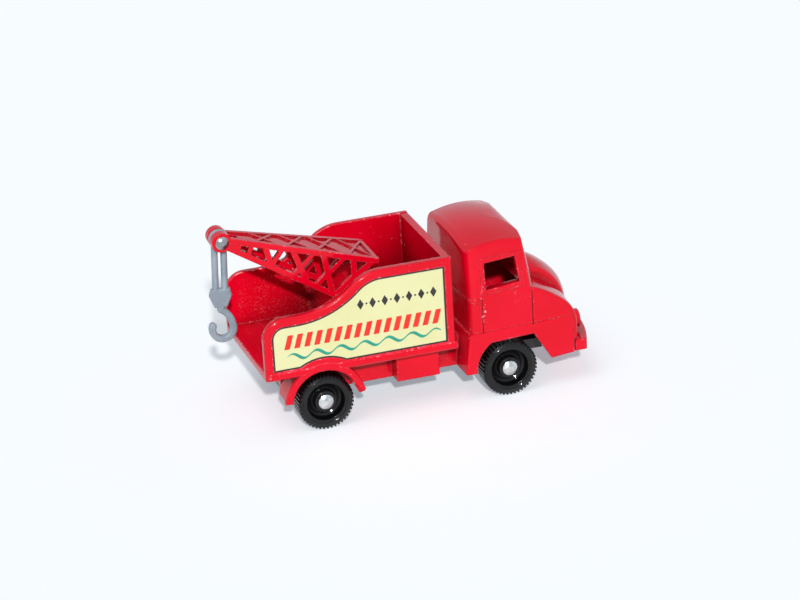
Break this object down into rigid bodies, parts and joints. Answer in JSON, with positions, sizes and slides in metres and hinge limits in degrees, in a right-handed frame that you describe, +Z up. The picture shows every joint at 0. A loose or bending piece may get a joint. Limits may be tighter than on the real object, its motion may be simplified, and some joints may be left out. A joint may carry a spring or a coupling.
{
  "type": "toy tow truck",
  "caption": "Small die-cast toy recovery lorry with an open rear tub, a fixed lattice crane jib, a swinging hook and free-rolling wheels.",
  "frame": {"origin": "on the ground, below the middle of the overall length and width", "axes": "+X towards the front bumper, +Y to the truck's left side, +Z up"},
  "size_m": [0.0657, 0.0254, 0.0342],
  "materials": {
    "red_enamel": "gloss stoved enamel over a zinc alloy casting",
    "black_plastic": "satin moulded black base",
    "black_wheel": "gloss moulded black wheel and tyre in one",
    "grey_plastic": "satin moulded blue-grey",
    "label_film": "thin printed self-adhesive film",
    "plated_steel": "bright plated steel wire with formed heads"
  },
  "bodies": {
    "truck": {"tub": "red_enamel", "cab_and_chassis": "red_enamel", "base_plate": "black_plastic", "crane_jib": "red_enamel", "head_pin": "plated_steel", "left_label": "label_film", "right_label": "label_film"},
    "front_axle_body": {"front_axle": "plated_steel"},
    "rear_axle_body": {"rear_axle": "plated_steel"},
    "front_left_wheel_body": {"front_left_wheel": "black_wheel"},
    "front_right_wheel_body": {"front_right_wheel": "black_wheel"},
    "rear_left_wheel_body": {"rear_left_wheel": "black_wheel"},
    "rear_right_wheel_body": {"rear_right_wheel": "black_wheel"},
    "hook": {"crane_hook": "grey_plastic"}
  },
  "joints": [
    {"name": "front_axle_spin", "type": "hinge", "parent": "truck", "child": "front_axle_body", "pos_m": [0.01635, 0, 0.00487], "axis": [0, 1, 0], "continuous": true},
    {"name": "front_left_wheel_spin", "type": "hinge", "parent": "front_axle_body", "child": "front_left_wheel_body", "pos_m": [0.01635, 0.0107, 0.00487], "axis": [0, 1, 0], "continuous": true},
    {"name": "front_right_wheel_spin", "type": "hinge", "parent": "front_axle_body", "child": "front_right_wheel_body", "pos_m": [0.01635, -0.0107, 0.00487], "axis": [0, 1, 0], "continuous": true},
    {"name": "rear_axle_spin", "type": "hinge", "parent": "truck", "child": "rear_axle_body", "pos_m": [-0.01665, 0, 0.00487], "axis": [0, 1, 0], "continuous": true},
    {"name": "rear_left_wheel_spin", "type": "hinge", "parent": "rear_axle_body", "child": "rear_left_wheel_body", "pos_m": [-0.01665, 0.0107, 0.00487], "axis": [0, 1, 0], "continuous": true},
    {"name": "rear_right_wheel_spin", "type": "hinge", "parent": "rear_axle_body", "child": "rear_right_wheel_body", "pos_m": [-0.01665, -0.0107, 0.00487], "axis": [0, 1, 0], "continuous": true},
    {"name": "hook_swing", "type": "hinge", "parent": "truck", "child": "hook", "pos_m": [-0.03, 0, 0.0324], "axis": [0, 1, 0], "range_deg": [-40, 110]}
  ]
}
